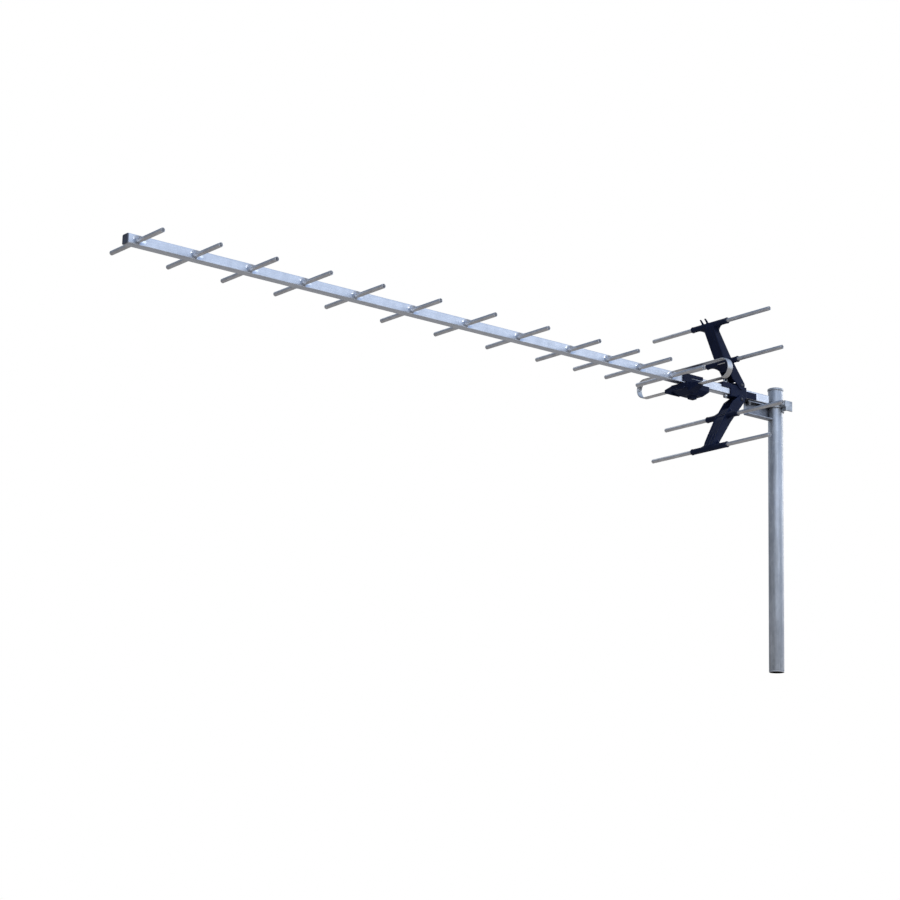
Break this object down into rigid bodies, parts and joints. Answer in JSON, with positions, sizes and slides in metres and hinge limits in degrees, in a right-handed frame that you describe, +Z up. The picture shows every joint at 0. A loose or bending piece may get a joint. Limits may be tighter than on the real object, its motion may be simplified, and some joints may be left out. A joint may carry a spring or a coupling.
{
  "type": "yagi antenna",
  "caption": "Rooftop television yagi: square boom with director rods, folded dipole with feed box, forward-leaning reflector arms, clamped to a round mast.",
  "frame": {"origin": "centre of the flat end of the mast's foot plug", "axes": "+Z up along the mast, -X towards the antenna's front along the boom, +Y along the director rods"},
  "size_m": [1.7867, 0.378, 0.799],
  "materials": {
    "boom_aluminium": "drawn mill finish, dull",
    "rod_aluminium": "drawn mill finish, dull",
    "strap_aluminium": "rolled, smooth",
    "dark_plastic": "fine-grained moulding",
    "circuit_board": "solder-masked",
    "brass_contacts": "turned",
    "galvanised_tube": "hot-dip galvanised",
    "plated_steel": "zinc plated"
  },
  "bodies": {
    "mast": {"mast_tube": "galvanised_tube", "mast_cap": "galvanised_tube", "mast_foot_plug": "galvanised_tube"},
    "antenna": {"boom": "boom_aluminium", "boom_front_cap": "dark_plastic", "director_01": "rod_aluminium", "director_02": "rod_aluminium", "director_03": "rod_aluminium", "director_04": "rod_aluminium", "director_05": "rod_aluminium", "director_06": "rod_aluminium", "director_07": "rod_aluminium", "director_08": "rod_aluminium", "director_09": "rod_aluminium", "director_10": "rod_aluminium", "director_11": "rod_aluminium", "director_12": "rod_aluminium", "dipole_strap": "strap_aluminium", "feed_box_body": "dark_plastic", "lid_hinge_pin": "plated_steel", "balun_board": "circuit_board", "terminal_screw_near": "brass_contacts", "terminal_screw_far": "brass_contacts", "coax_socket": "brass_contacts", "feed_box_screw": "plated_steel", "reflector_hub": "dark_plastic", "hub_wing_screw": "plated_steel", "hub_nut": "plated_steel", "arm_pin_upper": "plated_steel", "arm_pin_lower": "plated_steel", "mast_bracket": "plated_steel", "boom_bolt_front": "plated_steel", "boom_bolt_rear": "plated_steel", "boom_nut_front": "plated_steel", "boom_nut_rear": "plated_steel", "clamp_front_half": "plated_steel", "clamp_rear_saddle": "plated_steel", "clamp_bolt_near": "plated_steel", "clamp_bolt_far": "plated_steel"},
    "upper_arm": {"reflector_arm_upper": "dark_plastic", "reflector_rod_upper_tip": "rod_aluminium", "reflector_rod_upper_mid": "rod_aluminium"},
    "lower_arm": {"reflector_arm_lower": "dark_plastic", "reflector_rod_lower_tip": "rod_aluminium", "reflector_rod_lower_mid": "rod_aluminium"},
    "feed_lid": {"feed_box_lid": "dark_plastic"},
    "near_washer": {"clamp_washer_near": "plated_steel"},
    "near_nut": {"clamp_nut_near": "plated_steel"},
    "far_washer": {"clamp_washer_far": "plated_steel"},
    "far_nut": {"clamp_nut_far": "plated_steel"}
  },
  "joints": [
    {"name": "mast_aim", "type": "hinge", "parent": "mast", "child": "antenna", "pos_m": [0, 0, 0.63], "axis": [0, 0, 1], "continuous": true},
    {"name": "upper_arm_fold", "type": "hinge", "parent": "antenna", "child": "upper_arm", "pos_m": [-0.128, 0, 0.654], "axis": [0, -1, 0], "range_deg": [0, 32]},
    {"name": "lower_arm_fold", "type": "hinge", "parent": "antenna", "child": "lower_arm", "pos_m": [-0.128, 0, 0.62], "axis": [0, 1, 0], "range_deg": [0, 32]},
    {"name": "feed_lid_open", "type": "hinge", "parent": "antenna", "child": "feed_lid", "pos_m": [-0.3153, 0, 0.6127], "axis": [0, 1, 0], "range_deg": [0, 100]},
    {"name": "near_washer_slide", "type": "slide", "parent": "antenna", "child": "near_washer", "axis": [1, 0, 0], "range_m": [0, 0.006]},
    {"name": "near_nut_turn", "type": "hinge", "parent": "near_washer", "child": "near_nut", "pos_m": [0.006, -0.026, 0.629], "axis": [-1, 0, 0], "range_deg": [0, 2160]},
    {"name": "far_washer_slide", "type": "slide", "parent": "antenna", "child": "far_washer", "axis": [1, 0, 0], "range_m": [0, 0.006]},
    {"name": "far_nut_turn", "type": "hinge", "parent": "far_washer", "child": "far_nut", "pos_m": [0.006, 0.026, 0.629], "axis": [-1, 0, 0], "range_deg": [0, 2160]}
  ],
  "couplings": [
    {"joint": "near_nut_turn", "follows": "near_washer_slide", "rad_per_m": 6283.2},
    {"joint": "far_nut_turn", "follows": "far_washer_slide", "rad_per_m": 6283.2}
  ]
}
